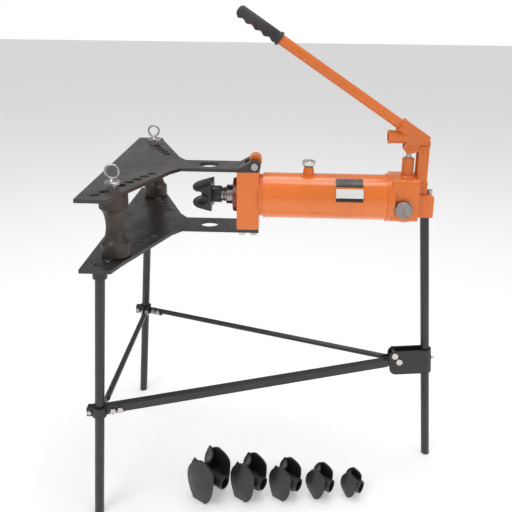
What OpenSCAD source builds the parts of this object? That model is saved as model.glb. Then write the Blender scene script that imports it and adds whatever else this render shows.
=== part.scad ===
// Hydraulic tripod tube bender: a hand pump drives a ram between two wing plates,
// which carry the bending rollers. Millimetres, +Z up, +X towards the pump, the ram
// on the plane Y = 0, and the floor at Z = 0 under the middle of the bounding box.

/* [Stand] */
// Outside diameter of the leg tubes
leg_d = 21.3; // [21.3:0.1:24]
// Wall thickness of the leg tubes
leg_wall = 2.6; // [2:0.1:4]
// Distance along the ram from the middle of the stand to the middle of each foot
foot_reach = 406; // [395:1:415]
// Distance of the two front legs from the ram's plane
leg_side = 250; // [235:1:265]
// Height of the leg collars and braces above the floor
brace_z = 275; // [240:1:300]
// Leg of the angle that makes the front brace
brace_w = 18; // [14:1:22]

/* [Wings] */
// Height of the lower wing's top face above the floor
wing_z = 635; // [620:1:650]
// Gap between the two wing plates, which is the height of the head block
wing_gap = 139; // [130:1:150]
// Thickness of both wing plates
plate_t = 8; // [6:1:10]
// Length of each wing from tip to tip
wing_span = 604; // [580:2:620]
// Distance of the straight outer edge from the middle of the stand
wing_edge = 397; // [390:1:400]
// Width of each wing tip
tip_w = 65; // [60:1:75]
// Width of the arm that joins each wing to the head block
arm_w = 82; // [76:1:90]
// Diameter of the roller pin holes
pin_hole_d = 20.6; // [20.2:0.1:21]
// Number of pin holes in each row
pin_holes = 8; // [6:1:8]
// Diameter of the round hole in each arm
arm_hole_d = 46; // [30:1:50]

/* [Rollers and pins] */
// Diameter of the shaft of the ring pins
pin_d = 20; // [18:0.1:20]
// Diameter of a roller at its two ends
roller_d = 61; // [56:1:64]
// Diameter of a roller at its waist
roller_waist = 37; // [34:1:44]
// Height of the plain band at each end of a roller
roller_band = 30; // [20:1:34]
// Diameter of the round bar of the pull rings
ring_bar = 5; // [4:0.5:6]
// Diameter of the pull rings to the middle of their bar
ring_d = 28; // [26:1:30]

/* [Ram and cylinder] */
// Diameter of the ram rod
rod_d = 36; // [34:1:38]
// Outside diameter of the oil reservoir tube
tank_d = 108; // [104:1:112]
// Bore of the pressure cylinder inside the reservoir
bore_d = 46; // [45:1:47]
// Diameter of the gland ring on the head block
gland_d = 84; // [78:1:88]

/* [Pump] */
// Diameter of the pump plunger
plunger_d = 12; // [11:0.5:13]
// Outside diameter of the pump barrel
barrel_d = 28; // [26:1:30]
// Slope of the handle above the horizontal
handle_slope = 33.8; // [33:0.1:35]
// Diameter of the handle tube
handle_d = 24; // [24:0.5:25]
// Diameter of the rubber grip
grip_d = 30; // [29:1:32]
// Diameter of the release valve's knob
knob_d = 40; // [36:1:42]

/* [Loose formers] */
// Length of the largest loose former from tip to tip
former_l = 162; // [155:1:165]
// Distance from the first loose former to the second, middle to middle
former_step = 98; // [94:1:100]

/* [Hidden] */
$fn = 64;

big = 2000;                    // side of the blocks used for trimming
fit = 0.05;                    // radial clearance of a running fit
gap = 0.3;                     // clearance between pieces that only pass each other

// Heights and stations that everything else hangs on
up_z = wing_z + wing_gap;      // underside of the upper wing
ram_z = wing_z + 75;           // axis of the ram
block_x0 = -99;                // face of the head block towards the work
block_x1 = -47;                // face of the head block towards the cylinder
block_y = arm_w / 2;           // half the depth of the head block
hinge_x = -58;                 // hinge pin of the upper wing
hinge_r = 14;                  // radius of the hinge barrel
hinge_z = up_z + hinge_r;
lug_y = 15;                    // half the thickness of the hinge lug
hinge_pin_d = 16;
arm_root = -228;               // where the arm leaves the wing
arm_hole_x = -167;

// Pin holes: the first is nearest the wing tip
hole_first = [-363, 271];
hole_last = [-284, 98];
function hole(i) = hole_first + (hole_last - hole_first) * (i - 1) / 7;
pin_at = hole(3);

// Ram and cylinder
tank_x0 = -38;
tank_x1 = 251;
tank_wall = 4;
cyl_od = 62;
cyl_x0 = -57;                  // seat of the pressure cylinder in the head block
cyl_x1 = 256;                  // seat of the pressure cylinder in the pump base
piston_x = 214;                // front face of the piston
piston_l = 26;
gland_t = 10;
collar_x = -126;               // front end of the ram's collar
collar_d = 46;
neck_d = 40;                   // neck of the mounted former
neck_x = -137;                 // face of the ram that the former's neck stands on
spigot_d = 24;
spigot_x = -163;
spigot_ring_x = -131;          // ring at the root of the spigot
filler_x = 68;

// Pump
base_x1 = 322;                 // end of the pump base's body
base_y = 46;                   // half the depth of the pump base's body
base_top = ram_z + 54;
base_bot = ram_z - 50;
pump_x = 299;                  // axis of the plunger
barrel_top = 808;
eye_z = 833;                   // plunger pin
eye_d = 13;
eye_t = 12;                    // thickness of the plunger's eye
pump_pin_d = 10;
rock_x = 331;                  // link pin, which the handle socket turns on
rock_z = 827;
link_z = 748;                  // base pin, which the link turns on
rock_y = 13;                   // half the width of the socket's lugs
link_t = 5;
knob_x = 286;
knob_z = 697;

// Handle
mouth = [275, 885];            // mouth of the handle socket, in X and Z
sleeve_d = 33;
sleeve_l = 74;
handle_in = 46;                // length of the handle inside the socket
handle_l = 462;
grip_start = 336;              // along the handle, from the socket's mouth
grip_l = 115;
stub_x = 249;
stub_z = 856;

// Legs: direction of each leg from its foot
socket_z = wing_z - plate_t;   // underside of the lower wing
front_lean = atan(38 / socket_z);
rear_lean = 4.97;
clamp_z0 = 667;
clamp_z1 = 717;
socket_l = 30;
collar_h = 24;

// A cylinder along X from x0 to x1 at the ram's height
module x_cyl(d, x0, x1) {
    translate([x0, 0, ram_z]) rotate([0, 90, 0]) cylinder(d = d, h = x1 - x0);
}

// A cylinder along Y centred on the plane Y = 0
module y_cyl(d, l, x, z) {
    translate([x, l / 2, z]) rotate([90, 0, 0]) cylinder(d = d, h = l);
}

// A shape drawn in X and Z, given a thickness t along Y and centred on y
module slab(t, y = 0) {
    translate([0, y + t / 2, 0]) rotate([90, 0, 0]) linear_extrude(t) children();
}

// A hexagonal bolt head with its washer face on the plane Z = 0, standing up +Z
module hex_head(af, h) {
    intersection() {
        cylinder(d = af / cos(30), h = h, $fn = 6);
        translate([0, 0, -af]) cylinder(d1 = 3.2 * af, d2 = af * 0.95, h = af + h);
    }
}

// A through bolt along +Z from z0 to z1: head above z1, nut below z0
module through_bolt(d, z0, z1, af) {
    translate([0, 0, z0 - 0.7 * d - 3]) cylinder(d = d, h = z1 - z0 + 0.7 * d + 3);
    translate([0, 0, z1]) hex_head(af, 0.65 * d);
    translate([0, 0, z0]) mirror([0, 0, 1]) hex_head(af, 0.7 * d);
}

// Puts its children in the frame of a front leg: Z along the leg, Z = 0 at the foot
module front_leg_frame(side) {
    translate([-foot_reach, side * leg_side, 0]) rotate([0, front_lean, 0]) children();
}

// Puts its children in the frame of the rear leg
module rear_leg_frame() {
    translate([foot_reach, 0, 0]) rotate([0, -rear_lean, 0]) children();
}

// Keeps what is above the floor
module above_floor() {
    difference() {
        children();
        translate([-big / 2, -big / 2, -big]) cube(big);
    }
}

// ---- Wings ----

module wing_outline() {
    half = wing_span / 2;
    inner = wing_edge - tip_w;
    arm = arm_w / 2;
    polygon([
        [-wing_edge, -half], [-inner, -half], [-inner + 12, -half + 40],
        [arm_root - 20, -arm - 30], [arm_root, -arm],
        [block_x0, -arm], [block_x0, arm], [arm_root, arm],
        [arm_root - 20, arm + 30], [-inner + 12, half - 40], [-inner, half],
        [-wing_edge, half]
    ]);
}

module wing_holes() {
    for (i = [1:pin_holes], s = [-1, 1])
        translate([hole(i)[0], s * hole(i)[1], -1]) cylinder(d = pin_hole_d, h = plate_t + 2);
    translate([arm_hole_x, 0, -1]) cylinder(d = arm_hole_d, h = plate_t + 2);
}

module lower_wing() color("#3a3834") {
    translate([0, 0, socket_z]) difference() {
        union() {
            linear_extrude(plate_t) wing_outline();
            translate([block_x0 - 1, -arm_w / 2, 0])
                cube([block_x1 - block_x0 + 1, arm_w, plate_t]);
        }
        wing_holes();
        for (x = [block_x0 + 12, block_x1 - 12], y = [-24, 24])
            translate([x, y, -1]) cylinder(d = 10.4, h = plate_t + 2);
    }
}

module upper_wing() color("#3a3834") {
    difference() {
        union() {
            translate([0, 0, up_z]) linear_extrude(plate_t) wing_outline();
            translate([block_x0 - 1, -arm_w / 2, up_z])
                cube([hinge_x - block_x0 + 1, arm_w, plate_t]);
            y_cyl(2 * hinge_r, arm_w, hinge_x, hinge_z);
            slab(arm_w) polygon([
                [block_x0 + 2, up_z + plate_t - 1], [hinge_x, up_z],
                [hinge_x + 4, hinge_z + 13], [hinge_x - 4, hinge_z + 13]
            ]);
        }
        translate([0, 0, up_z]) wing_holes();
        y_cyl(hinge_pin_d + 2 * fit, arm_w + 2, hinge_x, hinge_z);
        // Slot that the lug of the head block stands in
        translate([hinge_x - 24, -lug_y - gap, up_z - 1])
            cube([60, 2 * (lug_y + gap), 60]);
    }
}

// ---- Head block ----

module head_block() color("#d2481f") {
    difference() {
        union() {
            translate([block_x0, -block_y, wing_z])
                cube([block_x1 - block_x0 - 4, 2 * block_y, wing_gap]);
            translate([block_x0, 1 - block_y, wing_z])
                cube([block_x1 - block_x0, 2 * block_y - 2, wing_gap]);
            slab(2 * lug_y) hull() {
                translate([hinge_x + 1, hinge_z + 8]) circle(15);
                polygon([[hinge_x - 19, up_z - 2], [block_x1, up_z - 2], [block_x1, up_z + 2]]);
            }
        }
        y_cyl(hinge_pin_d, 2 * lug_y + 2, hinge_x, hinge_z);
        // Guide of the ram, seal room and seat of the pressure cylinder
        x_cyl(rod_d + 2 * fit, block_x0 - 1, block_x1 + 1);
        x_cyl(rod_d + 10, block_x0 + 12, block_x0 + 20);
        x_cyl(cyl_od, cyl_x0, block_x1 + 1);
        // Thread of the gland ring's set screw and of the four mounting bolts
        translate([block_x0 - 1, 0, ram_z]) rotate([0, 90, 0]) for (a = [0:120:240])
            rotate(a + 90) translate([30, 0, 0]) cylinder(d = 6, h = 14);
        for (x = [block_x0 + 12, block_x1 - 12], y = [-24, 24])
            translate([x, y, wing_z - 1]) cylinder(d = 10, h = 25);
    }
}

module head_block_bolts() color("#b9b4ae") {
    for (x = [block_x0 + 12, block_x1 - 12], y = [-24, 24])
        translate([x, y, socket_z]) {
            cylinder(d = 10, h = plate_t + 20);
            mirror([0, 0, 1]) difference() {
                cylinder(d1 = 17, d2 = 16, h = 9);
                translate([0, 0, 4]) cylinder(d = 9, h = 6, $fn = 6);
            }
        }
}

module hinge_pin() color("#b9b4ae") {
    pin_l = arm_w + 9;
    translate([hinge_x, pin_l / 2, hinge_z]) rotate([90, 0, 0]) difference() {
        cylinder(d = hinge_pin_d, h = pin_l);
        // Turned grooves near both ends
        for (z = [2.5, pin_l - 4]) translate([0, 0, z]) difference() {
            cylinder(d = hinge_pin_d + 1, h = 1.5);
            translate([0, 0, -1]) cylinder(d = hinge_pin_d - 1.5, h = 4);
        }
    }
}

// ---- Gland, ram and former ----

module gland_ring() color("#8d2a1c") {
    difference() {
        translate([block_x0 - gland_t, 0, ram_z]) rotate([0, 90, 0])
            cylinder(d1 = gland_d - 5, d2 = gland_d, h = gland_t);
        x_cyl(collar_d + 2, block_x0 - gland_t - 1, block_x0 - 4);
        x_cyl(rod_d + 2 * fit, block_x0 - gland_t - 1, block_x0 + 1);
        translate([block_x0 - gland_t - 1, 0, ram_z]) rotate([0, 90, 0]) for (a = [0:120:240])
            rotate(a + 90) translate([30, 0, 0]) cylinder(d = 6, h = gland_t + 2);
    }
}

module gland_set_screw() color("#55504c") {
    translate([block_x0 - gland_t + 1.5, 0, ram_z]) rotate([0, 90, 0]) for (a = [0:120:240])
        rotate(a + 90) translate([30, 0, 0]) difference() {
            cylinder(d = 6, h = gland_t + 8);
            translate([0, 0, -1]) cylinder(d = 3.4, h = 4, $fn = 6);
        }
}

module rod_seal() color("#2b2b2b") {
    translate([block_x0 + 12, 0, ram_z]) rotate([0, 90, 0]) difference() {
        cylinder(d = rod_d + 10, h = 8);
        translate([0, 0, -1]) cylinder(d = rod_d + 2 * fit, h = 10);
    }
}

module ram_rod() color("#8f8b88") {
    difference() {
        union() {
            x_cyl(rod_d, collar_x, piston_x);
            x_cyl(rod_d - 4, neck_x, collar_x + 1);
            x_cyl(spigot_d, spigot_x, neck_x + 1);
            translate([collar_x, 0, ram_z]) rotate([0, 90, 0]) {
                cylinder(d1 = collar_d - 3, d2 = collar_d, h = 2);
                translate([0, 0, 1.9]) cylinder(d = collar_d, h = block_x0 - gland_t - collar_x - 2.2);
            }
            x_cyl(20, piston_x - 1, piston_x + piston_l - 2);
        }
        // Groove of the ring
        translate([spigot_ring_x - 2, 0, ram_z]) rotate([0, 90, 0]) difference() {
            cylinder(d = rod_d, h = 4);
            translate([0, 0, -1]) cylinder(d = rod_d - 8, h = 6);
        }
    }
}

module nose_ring() color("#9c4a34") {
    translate([spigot_ring_x - 2, 0, ram_z]) rotate([0, 90, 0]) difference() {
        cylinder(d = rod_d - 2, h = 4);
        translate([0, 0, -1]) cylinder(d = rod_d - 8, h = 6);
    }
}

module piston_head() color("#8f8b88") {
    translate([piston_x, 0, ram_z]) rotate([0, 90, 0]) difference() {
        cylinder(d = bore_d - 2 * fit, h = piston_l);
        translate([0, 0, 9]) difference() {
            cylinder(d = bore_d + 1, h = 8);
            translate([0, 0, -1]) cylinder(d = bore_d - 10, h = 10);
        }
        translate([0, 0, -1]) cylinder(d = 20, h = piston_l - 1);
    }
}

module piston_seal() color("#2b2b2b") {
    translate([piston_x + 9, 0, ram_z]) rotate([0, 90, 0]) rotate_extrude() polygon([
        [bore_d / 2 - 5, 0], [bore_d / 2 - 1, 0], [bore_d / 2 - fit, 2], [bore_d / 2 - fit, 6],
        [bore_d / 2 - 1, 8], [bore_d / 2 - 5, 8]
    ]);
}

// Coil spring around the rod, swept ring by ring along its helix
spring_turns = 18;
spring_steps = 16;
spring_sides = 6;
spring_wire = 2.6;
spring_r = 20.5;
spring_x0 = cyl_x0 + 1.5;
spring_x1 = piston_x - 2;
function spring_point(k, j) =
    let (a = 360 * k / spring_steps, b = 360 * j / spring_sides,
         r = spring_r + spring_wire / 2 * cos(b),
         x = spring_x0 + (spring_x1 - spring_x0) * k / (spring_turns * spring_steps)
             + spring_wire / 2 * sin(b))
    [x, r * cos(a), ram_z + r * sin(a)];

module return_spring() color("#77736f") {
    rings = spring_turns * spring_steps;
    n = spring_sides;
    polyhedron(
        points = [for (k = [0:rings], j = [0:n - 1]) spring_point(k, j)],
        faces = concat(
            [[for (j = [0:n - 1]) j]],
            [for (k = [0:rings - 1], j = [0:n - 1])
                [k * n + j, (k + 1) * n + j, (k + 1) * n + (j + 1) % n, k * n + (j + 1) % n]],
            [[for (j = [n - 1:-1:0]) rings * n + j]]));
}

// A former in its working position. The groove faces -X and curves about the Z axis,
// with its floor on the plane X = 0. w is its height, l its length, r the radius of
// the groove, depth how far the body reaches behind the floor, neck the diameter and
// the end of the round neck, and socket the diameter and depth of its bore.
module former(w, l, r, depth, neck, socket) {
    bend = l * 0.62;             // radius of the curve of the groove's floor
    lip = r * 1.2;               // how far the lips reach in front of the floor
    difference() {
        union() {
            intersection() {
                translate([bend, 0, 0]) rotate_extrude($fn = 96) former_profile(w, r, bend, depth, lip);
                translate([-lip - 1, -l / 2, -w / 2]) cube([lip + 1 + depth, l, w]);
            }
            translate([8, 0, 0]) rotate([0, 90, 0]) cylinder(d = neck[0], h = neck[1] - 8);
        }
        translate([neck[1] - socket[1], 0, 0]) rotate([0, 90, 0])
            cylinder(d = socket[0], h = socket[1] + 1);
    }
}

// Section of a former through the middle of its curve
module former_profile(w, r, bend, depth, lip) {
    difference() {
        hull() {
            translate([bend - depth, 0]) square([0.2, w * 0.62], center = true);
            for (s = [-1, 1]) {
                translate([bend - depth * 0.6, s * (w / 2 - 6)]) circle(6, $fn = 32);
                translate([bend + lip - 3, s * (r + 2.5)]) circle(3, $fn = 32);
            }
        }
        translate([bend + r, 0]) circle(r, $fn = 48);
        translate([bend + r, -r]) square([lip, 2 * r]);
    }
}

module mounted_former() color("#1e1d1c") {
    floor_x = -186;
    translate([floor_x, 0, ram_z])
        former(70, 88, 17, 27, [neck_d, neck_x - floor_x], [spigot_d + 2 * fit, neck_x - spigot_x + 2]);
}

// ---- Cylinder and reservoir ----

module pressure_cylinder() color("#77736f") {
    difference() {
        x_cyl(cyl_od, cyl_x0, cyl_x1);
        x_cyl(bore_d, cyl_x0 - 1, cyl_x1 + 1);
    }
}

module reservoir_tube() color("#f07322") {
    difference() {
        x_cyl(tank_d, tank_x0, tank_x1);
        x_cyl(tank_d - 2 * tank_wall, tank_x0 - 1, tank_x1 + 1);
        translate([filler_x, 0, ram_z]) cylinder(d = 20, h = tank_d);
    }
}

module front_collar() color("#f07322") {
    difference() {
        union() {
            x_cyl(tank_d - 8, block_x1, tank_x0);
            x_cyl(tank_d - 2 * tank_wall, tank_x0 - 1, tank_x0 + 8);
        }
        x_cyl(cyl_od, block_x1 - 1, tank_x0 + 9);
    }
}

module filler_neck() color("#e06a20") {
    saddle_z = ram_z + tank_d / 2;
    difference() {
        union() {
            translate([filler_x, 0, saddle_z + 8]) cylinder(d1 = 26, d2 = 21, h = 10);
            translate([filler_x, 0, saddle_z - 8]) cylinder(d = 26, h = 16);
        }
        x_cyl(tank_d, tank_x0, tank_x1);
        translate([filler_x, 0, saddle_z - 9]) cylinder(d = 14.1, h = 30);
    }
}

module filler_cap() color("#d8d6d2") {
    z = ram_z + tank_d / 2 + 22;
    difference() {
        union() {
            translate([filler_x, 0, z]) cylinder(d = 32, h = 8);
            translate([filler_x, 0, z + 7.9]) cylinder(d1 = 32, d2 = 28, h = 2.1);
            translate([filler_x, 0, z - 16]) cylinder(d = 14, h = 17);
        }
        // Grip flutes
        for (a = [0:15:345]) translate([filler_x, 0, z - 1]) rotate(a)
            translate([16.4, 0, 0]) cylinder(d = 2.2, h = 12);
    }
}

module cap_seal() color("#232323") {
    z = ram_z + tank_d / 2 + 18;
    translate([filler_x, 0, z]) difference() {
        cylinder(d = 22, h = 3.9);
        translate([0, 0, -1]) cylinder(d = 14.6, h = 6);
    }
}

module data_plate() color("#262626") {
    r = tank_d / 2;
    difference() {
        intersection() {
            x_cyl(tank_d + 1.6, 129, 195);
            translate([129, -tank_d, ram_z + 1]) cube([66, tank_d, 49.5]);
        }
        x_cyl(2 * r, 100, 250);
    }
}

// ---- Pump ----

module pump_base() color("#ee7022") {
    tongue_r = 15;
    difference() {
        union() {
            x_cyl(tank_d + 6, tank_x1, tank_x1 + 15);
            hull() for (y = [-1, 1] * (base_y - 8), z = [base_top - 8, base_bot + 12])
                translate([tank_x1 + 10, y, z]) rotate([0, 90, 0])
                    cylinder(r = 8, h = base_x1 - tank_x1 - 10, $fn = 32);
            translate([pump_x, 0, base_top - 6]) cylinder(d1 = barrel_d + 14, d2 = barrel_d + 6, h = 9);
            // Round boss of the intake check under the base
            translate([296, 0, base_bot - 4]) cylinder(d = 44, h = 20);
            // Tongue that the link turns on
            slab(2 * rock_y) hull() {
                translate([rock_x, link_z]) circle(tongue_r);
                translate([rock_x, link_z - 30]) circle(tongue_r);
            }
            slab(2 * rock_y) polygon([
                [base_x1 - 6, link_z - 44], [rock_x + tongue_r, link_z - 30],
                [rock_x, link_z], [base_x1 - 6, link_z + 10]
            ]);
        }
        // Cylinder seat, oil gallery and pump bore
        x_cyl(cyl_od, tank_x1 - 1, cyl_x1);
        x_cyl(12, cyl_x1 - 1, pump_x);
        translate([pump_x, 0, ram_z - 60]) cylinder(d = 8, h = 80);
        translate([pump_x, 0, ram_z + 8]) cylinder(d = plunger_d + 0.5, h = 80);
        translate([pump_x, 0, base_top - 24]) cylinder(d = barrel_d - 4, h = 40);
        // Intake and delivery seats, closed by plugs from below and from the far side
        translate([pump_x, 0, base_bot - 6]) cylinder(d = 16, h = 28);
        translate([pump_x, base_y + 1, ram_z + 14]) rotate([90, 0, 0]) cylinder(d = 16, h = 30);
        translate([pump_x, base_y + 1, ram_z + 14]) rotate([90, 0, 0]) cylinder(d = 8, h = base_y);
        // Bore of the release valve
        translate([knob_x, -base_y - 1, knob_z]) rotate([-90, 0, 0]) cylinder(d = 12 + 2 * fit, h = 35);
        y_cyl(pump_pin_d + 2, 2 * rock_y + 2, rock_x, link_z);
        // Room for the two link plates
        for (s = [-1, 1]) slab(link_t + 1.2, s * (rock_y + gap + link_t / 2)) hull() {
            translate([rock_x, link_z]) circle(14);
            translate([rock_x, base_top + 12]) circle(14);
        }
    }
}

module pump_barrel() color("#e8681f") {
    translate([pump_x, 0, base_top - 24]) difference() {
        union() {
            cylinder(d = barrel_d - 4, h = 26);
            translate([0, 0, 27]) cylinder(d = barrel_d, h = barrel_top - base_top - 3 - 3);
            translate([0, 0, barrel_top - base_top + 20.9]) cylinder(d1 = barrel_d, d2 = barrel_d - 5, h = 3.1);
            translate([0, 0, 25]) cylinder(d = barrel_d - 4, h = 4);
        }
        translate([0, 0, -1]) cylinder(d = plunger_d + 2 * fit, h = 90);
        translate([0, 0, barrel_top - base_top + 14]) cylinder(d = plunger_d + 6, h = 5);
    }
}

module plunger_seal() color("#2b2b2b") {
    translate([pump_x, 0, barrel_top - 10]) difference() {
        cylinder(d = plunger_d + 6, h = 5);
        translate([0, 0, -1]) cylinder(d = plunger_d + 2 * fit, h = 7);
    }
}

module pump_plunger() color("#a7a3a0") {
    difference() {
        union() {
            translate([pump_x, 0, ram_z + 22]) cylinder(d = plunger_d, h = eye_z - ram_z - 26);
            y_cyl(19, eye_t, pump_x, eye_z);
        }
        y_cyl(eye_d, 20, pump_x, eye_z);
    }
}

module check_balls() color("#c9c6c2") {
    translate([pump_x, 0, base_bot + 19.7]) sphere(d = 9);
    translate([pump_x, 19.3, ram_z + 14]) sphere(d = 9);
}

module check_spring(l) {
    for (k = [0:4]) translate([0, 0, k * l / 4]) rotate_extrude() translate([3, 0]) circle(0.6, $fn = 16);
    for (s = [-1, 1]) translate([s * 3, 0, 0]) cylinder(d = 0.9, h = l);
}

module check_springs() color("#77736f") {
    translate([pump_x, 0, base_bot + 8.7]) check_spring(5.7);
    translate([pump_x, 24.6, ram_z + 14]) rotate([-90, 0, 0]) check_spring(8.6);
}

module check_plug() {
    difference() {
        union() {
            cylinder(d = 16, h = 12);
            translate([0, 0, -3]) cylinder(d = 22, h = 3.01);
        }
        translate([0, 0, -4]) cylinder(d = 9, h = 7, $fn = 6);
    }
}

module check_plugs() color("#8b2a1c") {
    translate([pump_x, 0, base_bot - 4]) check_plug();
    translate([pump_x, base_y, ram_z + 14]) rotate([90, 0, 0]) check_plug();
}

module release_knob() color("#7f7470") {
    translate([knob_x, -base_y - 4, knob_z]) rotate([90, 0, 0]) difference() {
        union() {
            cylinder(d = knob_d, h = 9);
            translate([0, 0, 8.99]) cylinder(d1 = knob_d, d2 = knob_d - 4, h = 2);
        }
        translate([0, 0, -1]) cylinder(d = 8, h = 8);
        translate([-1.5, -7, 9.8]) cube([3, 14, 3]);
        for (a = [0:10:350]) rotate(a) translate([knob_d / 2 + 0.4, 0, -1]) cylinder(d = 2, h = 9);
    }
}

module release_spindle() color("#a7a3a0") {
    translate([knob_x, -base_y - 10.9, knob_z]) rotate([-90, 0, 0]) {
        cylinder(d = 8, h = 8);
        translate([0, 0, 7.2]) cylinder(d = 12, h = 30);
        translate([0, 0, 37.1]) cylinder(d1 = 12, d2 = 1, h = 6);
    }
}

// ---- Handle, socket and link ----

// Puts its children in the handle's frame: Z along the handle away from the pump,
// Z = 0 at the mouth of the socket
module handle_frame() {
    translate([mouth[0], 0, mouth[1]]) rotate([0, -90 + handle_slope, 0]) children();
}

module handle_socket() color("#ea6a20") {
    cheek_z = 12;
    difference() {
        union() {
            handle_frame() translate([0, 0, -sleeve_l]) cylinder(d = sleeve_d, h = sleeve_l);
            handle_frame() translate([0, 0, -4]) cylinder(d = sleeve_d + 3, h = 4);
            // Lugs of the plunger pin and the link pin
            slab(2 * rock_y) hull() {
                translate([pump_x, eye_z]) circle(14);
                translate([pump_x + 8, eye_z + 30]) circle(10);
                translate([rock_x + 1, rock_z + 16]) circle(13);
            }
            slab(2 * rock_y) hull() {
                translate([rock_x, rock_z]) circle(12);
                translate([rock_x + 1, rock_z + 18]) circle(12);
            }
            // Spare socket that points level
            translate([stub_x, 0, stub_z]) rotate([0, 90, 0]) {
                cylinder(d1 = 34, d2 = 30, h = 8);
                cylinder(d = 30, h = 55);
            }
        }
        handle_frame() translate([0, 0, -handle_in]) cylinder(d = handle_d, h = handle_in + 2);
        translate([stub_x - 1, 0, stub_z]) rotate([0, 90, 0]) cylinder(d = handle_d + 0.6, h = 27);
        y_cyl(pump_pin_d, 2 * rock_y + 2, pump_x, eye_z);
        y_cyl(pump_pin_d + 2 * fit, 2 * rock_y + 2, rock_x, rock_z);
        // Room for the link plates, then the slot for the plunger's eye
        for (s = [-1, 1]) slab(7, s * (rock_y + 3.5)) translate([rock_x, rock_z]) circle(12.5);
        slab(eye_t + 1) polygon([
            [pump_x - 18, eye_z - 30], [pump_x + 18, eye_z - 30],
            [pump_x + 18, eye_z + cheek_z], [pump_x - 18, eye_z + cheek_z]
        ]);
    }
}

module plunger_pin() color("#ea6a20") {
    y_cyl(pump_pin_d, 2 * rock_y + 4, pump_x, eye_z);
}

module handle_tube() color("#ef7224") {
    handle_frame() translate([0, 0, -handle_in]) difference() {
        cylinder(d = handle_d, h = handle_l);
        translate([0, 0, -1]) cylinder(d = handle_d - 5, h = handle_l + 2);
    }
}

module handle_grip() color("#3c3a39") {
    bore_l = handle_l - handle_in - grip_start;
    handle_frame() translate([0, 0, grip_start]) difference() {
        union() {
            cylinder(d = grip_d, h = grip_l - 4);
            translate([0, 0, grip_l - 4.01]) cylinder(d1 = grip_d, d2 = grip_d - 6, h = 4);
            cylinder(d = grip_d + 4, h = 4);
        }
        translate([0, 0, -1]) cylinder(d = handle_d, h = bore_l + 1);
    }
}

module link_plates() color("#e2581f") {
    for (s = [-1, 1]) slab(link_t, s * (rock_y + gap + link_t / 2)) difference() {
        hull() {
            translate([rock_x, rock_z]) circle(11.5);
            translate([rock_x, link_z]) circle(11.5);
        }
        translate([rock_x, rock_z]) circle(pump_pin_d / 2);
        translate([rock_x, link_z]) circle(pump_pin_d / 2 + fit);
    }
}

module link_pin() color("#ea6a20") {
    y_cyl(pump_pin_d, 2 * (rock_y + link_t + 2), rock_x, rock_z);
}

module base_pin() color("#ea6a20") {
    y_cyl(pump_pin_d, 2 * (rock_y + link_t + 2), rock_x, link_z);
    y_cyl(pump_pin_d + 2, 2 * rock_y, rock_x, link_z);
}

// ---- Stand ----

module leg_tube(l) {
    difference() {
        cylinder(d = leg_d, h = l);
        translate([0, 0, -1]) cylinder(d = leg_d - 2 * leg_wall, h = l + 2);
    }
}

module front_leg(side) color("#1d1c1c") {
    above_floor() front_leg_frame(side) translate([0, 0, -2]) leg_tube(socket_z - 3);
}

module leg_near() front_leg(-1);
module leg_far() front_leg(1);

module leg_rear() color("#1d1c1c") {
    above_floor() rear_leg_frame() translate([0, 0, -2]) leg_tube(clamp_z0 + 25);
}

module leg_sockets() color("#1d1c1c") {
    difference() {
        for (s = [-1, 1]) front_leg_frame(s) translate([0, 0, socket_z - socket_l])
            difference() {
                cylinder(d = 31, h = socket_l + 10);
                translate([0, 0, -1]) cylinder(d = leg_d, h = socket_l - 2);
            }
        translate([-big / 2, -big / 2, socket_z]) cube(big);
    }
}

module rear_clamp() color("#ee7022") {
    difference() {
        union() {
            translate([base_x1, -19, clamp_z0]) cube([41, 38, clamp_z1 - clamp_z0]);
            slab(38) polygon([
                [base_x1, clamp_z1 - 1], [base_x1 + 41, clamp_z1 - 1],
                [base_x1 + 34, clamp_z1 + 5], [base_x1, clamp_z1 + 5]
            ]);
        }
        // Room for the tongue of the pump base, and the leg's socket
        translate([base_x1 - 20, -rock_y, link_z - 46]) cube([46, 2 * rock_y, 60]);
        rear_leg_frame() translate([0, 0, clamp_z0 - 20]) cylinder(d = leg_d, h = 44);
        translate([clamp_bolt_x, 0, clamp_z0 + 27]) cylinder(d = 8, h = 60);
    }
}

module clamp_bolt() color("#c9c4bf") {
    translate([clamp_bolt_x, 0, clamp_z0 + 28]) cylinder(d = 8, h = clamp_z1 - clamp_z0 - 22);
    translate([clamp_bolt_x, 0, clamp_z1 + 5]) difference() {
        cylinder(d = 13, h = 9);
        translate([0, 0, 4]) cylinder(d = 7, h = 6, $fn = 6);
    }
}

// ---- Collars and braces ----

collar_x_front = -foot_reach + brace_z * tan(front_lean);   // front legs at the braces
bracket_z0 = 250;
bracket_h = 64;
bracket_l = 92;
mouth_x = 300;                 // where the braces enter the rear bracket
tab_y = 8;                     // their distance from the ram's plane there
tab_t = 4;
tab_l = 24;                    // length of each tab in front of the bracket's mouth
brace_end = mouth_x - 14;      // where the bars stop, just short of the bracket
brace_turn = atan((leg_side - tab_y) / (mouth_x - collar_x_front));
brace_l = (mouth_x - collar_x_front) / cos(brace_turn);
bolt_d = 8;
bolt_af = 13;
ear_t = 5;
ear_bolts = [28, 44];          // brace bolts, measured from the leg's axis
cross_bolt = 27;
bracket_bolt = [314, 280];     // X and Z of the bolt through both brace ends
bracket_bolt_2 = [302, 296];
clamp_bolt_x = base_x1 + 33;

// Puts its children at a front leg, on the braces' height, as on the near leg
module at_collar(side) {
    translate([collar_x_front, side * leg_side, brace_z])
        if (side < 0) children(); else mirror([0, 1, 0]) children();
}

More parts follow.
